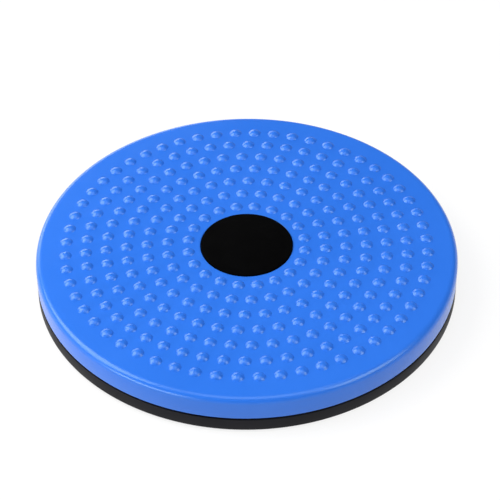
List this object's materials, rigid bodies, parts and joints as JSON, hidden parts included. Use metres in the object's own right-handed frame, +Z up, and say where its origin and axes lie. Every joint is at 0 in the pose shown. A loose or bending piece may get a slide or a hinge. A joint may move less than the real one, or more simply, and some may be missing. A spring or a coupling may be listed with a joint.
{
  "type": "waist twisting disc",
  "caption": "Low round twisting disc: a domed tread plate turns on a caged ball race over a fixed base plate with rubber pads.",
  "frame": {"origin": "on the floor under the disc, on the axis that the tread plate turns about", "axes": "+Z up along the turning axis; +Y away from the side that the picture is taken from, +X to its right"},
  "size_m": [0.2796, 0.28, 0.0326],
  "materials": {
    "blue_plastic": "satin gloss moulded polypropylene",
    "black_plastic": "fine-grained moulded polypropylene",
    "cap_plastic": "matt black",
    "white_plastic": "natural moulded plastic",
    "rubber": "matt moulded rubber",
    "race_steel": "turned and greased",
    "ball_steel": "polished bearing steel",
    "zinc_steel": "zinc plated"
  },
  "bodies": {
    "base": {"base_plate": "black_plastic", "pivot_bolt": "zinc_steel", "flat_washer": "zinc_steel", "pivot_nut": "zinc_steel", "thrust_washer": "white_plastic", "lower_race": "race_steel", "foot_1": "rubber", "foot_2": "rubber", "foot_3": "rubber", "foot_4": "rubber", "foot_5": "rubber", "foot_6": "rubber"},
    "turntable": {"tread_plate": "blue_plastic", "centre_cap": "cap_plastic", "hub_bush": "white_plastic", "upper_race": "race_steel"},
    "ball_train": {"ball_cage": "white_plastic"},
    "ball_01": {"ball_01": "ball_steel"},
    "ball_02": {"ball_02": "ball_steel"},
    "ball_03": {"ball_03": "ball_steel"},
    "ball_04": {"ball_04": "ball_steel"},
    "ball_05": {"ball_05": "ball_steel"},
    "ball_06": {"ball_06": "ball_steel"},
    "ball_07": {"ball_07": "ball_steel"},
    "ball_08": {"ball_08": "ball_steel"},
    "ball_09": {"ball_09": "ball_steel"},
    "ball_10": {"ball_10": "ball_steel"},
    "ball_11": {"ball_11": "ball_steel"},
    "ball_12": {"ball_12": "ball_steel"},
    "ball_13": {"ball_13": "ball_steel"},
    "ball_14": {"ball_14": "ball_steel"},
    "ball_15": {"ball_15": "ball_steel"},
    "ball_16": {"ball_16": "ball_steel"}
  },
  "joints": [
    {"name": "tread_spin", "type": "hinge", "parent": "base", "child": "turntable", "pos_m": [0, 0, 0.0129], "axis": [0, 0, 1], "continuous": true},
    {"name": "cage_spin", "type": "hinge", "parent": "base", "child": "ball_train", "pos_m": [0, 0, 0.0129], "axis": [0, 0, 1], "continuous": true},
    {"name": "ball_roll_01", "type": "hinge", "parent": "ball_train", "child": "ball_01", "pos_m": [0.072, 0, 0.0129], "axis": [1, 0, 0], "continuous": true},
    {"name": "ball_roll_02", "type": "hinge", "parent": "ball_train", "child": "ball_02", "pos_m": [0.06652, 0.02755, 0.0129], "axis": [0.9239, 0.3827, 0], "continuous": true},
    {"name": "ball_roll_03", "type": "hinge", "parent": "ball_train", "child": "ball_03", "pos_m": [0.05091, 0.05091, 0.0129], "axis": [0.7071, 0.7071, 0], "continuous": true},
    {"name": "ball_roll_04", "type": "hinge", "parent": "ball_train", "child": "ball_04", "pos_m": [0.02755, 0.06652, 0.0129], "axis": [0.3827, 0.9239, 0], "continuous": true},
    {"name": "ball_roll_05", "type": "hinge", "parent": "ball_train", "child": "ball_05", "pos_m": [0, 0.072, 0.0129], "axis": [0, 1, 0], "continuous": true},
    {"name": "ball_roll_06", "type": "hinge", "parent": "ball_train", "child": "ball_06", "pos_m": [-0.02755, 0.06652, 0.0129], "axis": [-0.3827, 0.9239, 0], "continuous": true},
    {"name": "ball_roll_07", "type": "hinge", "parent": "ball_train", "child": "ball_07", "pos_m": [-0.05091, 0.05091, 0.0129], "axis": [-0.7071, 0.7071, 0], "continuous": true},
    {"name": "ball_roll_08", "type": "hinge", "parent": "ball_train", "child": "ball_08", "pos_m": [-0.06652, 0.02755, 0.0129], "axis": [-0.9239, 0.3827, 0], "continuous": true},
    {"name": "ball_roll_09", "type": "hinge", "parent": "ball_train", "child": "ball_09", "pos_m": [-0.072, 0, 0.0129], "axis": [-1, 0, 0], "continuous": true},
    {"name": "ball_roll_10", "type": "hinge", "parent": "ball_train", "child": "ball_10", "pos_m": [-0.06652, -0.02755, 0.0129], "axis": [-0.9239, -0.3827, 0], "continuous": true},
    {"name": "ball_roll_11", "type": "hinge", "parent": "ball_train", "child": "ball_11", "pos_m": [-0.05091, -0.05091, 0.0129], "axis": [-0.7071, -0.7071, 0], "continuous": true},
    {"name": "ball_roll_12", "type": "hinge", "parent": "ball_train", "child": "ball_12", "pos_m": [-0.02755, -0.06652, 0.0129], "axis": [-0.3827, -0.9239, 0], "continuous": true},
    {"name": "ball_roll_13", "type": "hinge", "parent": "ball_train", "child": "ball_13", "pos_m": [0, -0.072, 0.0129], "axis": [0, -1, 0], "continuous": true},
    {"name": "ball_roll_14", "type": "hinge", "parent": "ball_train", "child": "ball_14", "pos_m": [0.02755, -0.06652, 0.0129], "axis": [0.3827, -0.9239, 0], "continuous": true},
    {"name": "ball_roll_15", "type": "hinge", "parent": "ball_train", "child": "ball_15", "pos_m": [0.05091, -0.05091, 0.0129], "axis": [0.7071, -0.7071, 0], "continuous": true},
    {"name": "ball_roll_16", "type": "hinge", "parent": "ball_train", "child": "ball_16", "pos_m": [0.06652, -0.02755, 0.0129], "axis": [0.9239, -0.3827, 0], "continuous": true}
  ],
  "couplings": [
    {"joint": "cage_spin", "follows": "tread_spin", "ratio": 0.5},
    {"joint": "ball_roll_01", "follows": "tread_spin", "ratio": -9},
    {"joint": "ball_roll_02", "follows": "tread_spin", "ratio": -9},
    {"joint": "ball_roll_03", "follows": "tread_spin", "ratio": -9},
    {"joint": "ball_roll_04", "follows": "tread_spin", "ratio": -9},
    {"joint": "ball_roll_05", "follows": "tread_spin", "ratio": -9},
    {"joint": "ball_roll_06", "follows": "tread_spin", "ratio": -9},
    {"joint": "ball_roll_07", "follows": "tread_spin", "ratio": -9},
    {"joint": "ball_roll_08", "follows": "tread_spin", "ratio": -9},
    {"joint": "ball_roll_09", "follows": "tread_spin", "ratio": -9},
    {"joint": "ball_roll_10", "follows": "tread_spin", "ratio": -9},
    {"joint": "ball_roll_11", "follows": "tread_spin", "ratio": -9},
    {"joint": "ball_roll_12", "follows": "tread_spin", "ratio": -9},
    {"joint": "ball_roll_13", "follows": "tread_spin", "ratio": -9},
    {"joint": "ball_roll_14", "follows": "tread_spin", "ratio": -9},
    {"joint": "ball_roll_15", "follows": "tread_spin", "ratio": -9},
    {"joint": "ball_roll_16", "follows": "tread_spin", "ratio": -9}
  ]
}
